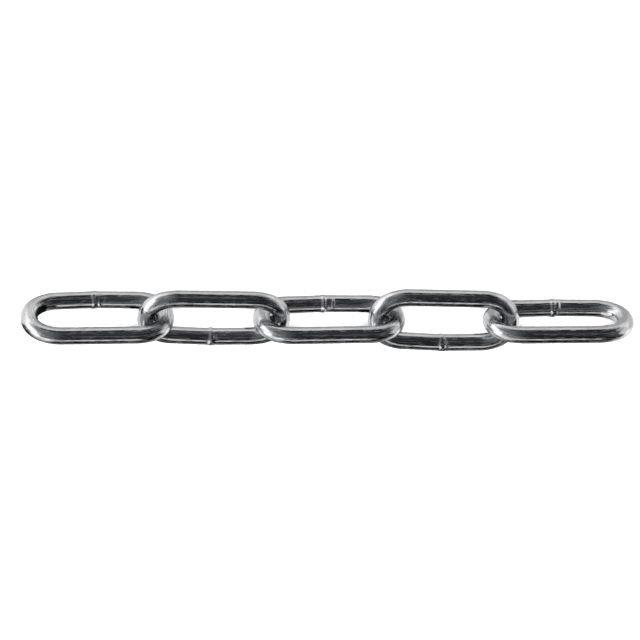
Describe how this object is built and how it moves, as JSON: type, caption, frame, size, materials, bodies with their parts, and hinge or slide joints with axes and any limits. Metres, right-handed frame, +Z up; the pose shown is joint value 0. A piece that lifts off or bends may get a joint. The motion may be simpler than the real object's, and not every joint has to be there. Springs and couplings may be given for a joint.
{
  "type": "long-link steel chain",
  "caption": "Short straight run of welded long-link steel chain in bright zinc-plated wire, for hanging, securing and barriers.",
  "frame": {"origin": "middle of the run, on the floor it lies on", "axes": "+X along the run towards link_5, +Z up, +Y towards the welded rails of link_1, link_3 and link_5"},
  "size_m": [0.2182, 0.021, 0.0206],
  "materials": {
    "zinc_steel": "bright zinc-plated drawn steel wire, fine streaks along the wire, rough weld collar"
  },
  "bodies": {
    "chain_link_1": {"link_1": "zinc_steel"},
    "chain_link_2": {"link_2": "zinc_steel"},
    "chain_link_3": {"link_3": "zinc_steel"},
    "chain_link_4": {"link_4": "zinc_steel"},
    "chain_link_5": {"link_5": "zinc_steel"}
  },
  "joints": [
    {"name": "swing_1_2", "type": "hinge", "parent": "chain_link_1", "child": "chain_link_2", "pos_m": [-0.0615, 0.00037, 0.01014], "axis": [0, 0, 1], "range_deg": [-37, 16]},
    {"name": "swing_2_3", "type": "hinge", "parent": "chain_link_2", "child": "chain_link_3", "pos_m": [-0.0205, -0.00028, 0.01036], "axis": [0, 0, 1], "range_deg": [-25, 13]},
    {"name": "swing_3_4", "type": "hinge", "parent": "chain_link_3", "child": "chain_link_4", "pos_m": [0.0205, 0.0005, 0.00987], "axis": [0, 0, 1], "range_deg": [-13, 33]},
    {"name": "swing_4_5", "type": "hinge", "parent": "chain_link_4", "child": "chain_link_5", "pos_m": [0.0615, -0.00026, 0.01009], "axis": [0, 0, 1], "range_deg": [-11, 32]}
  ]
}
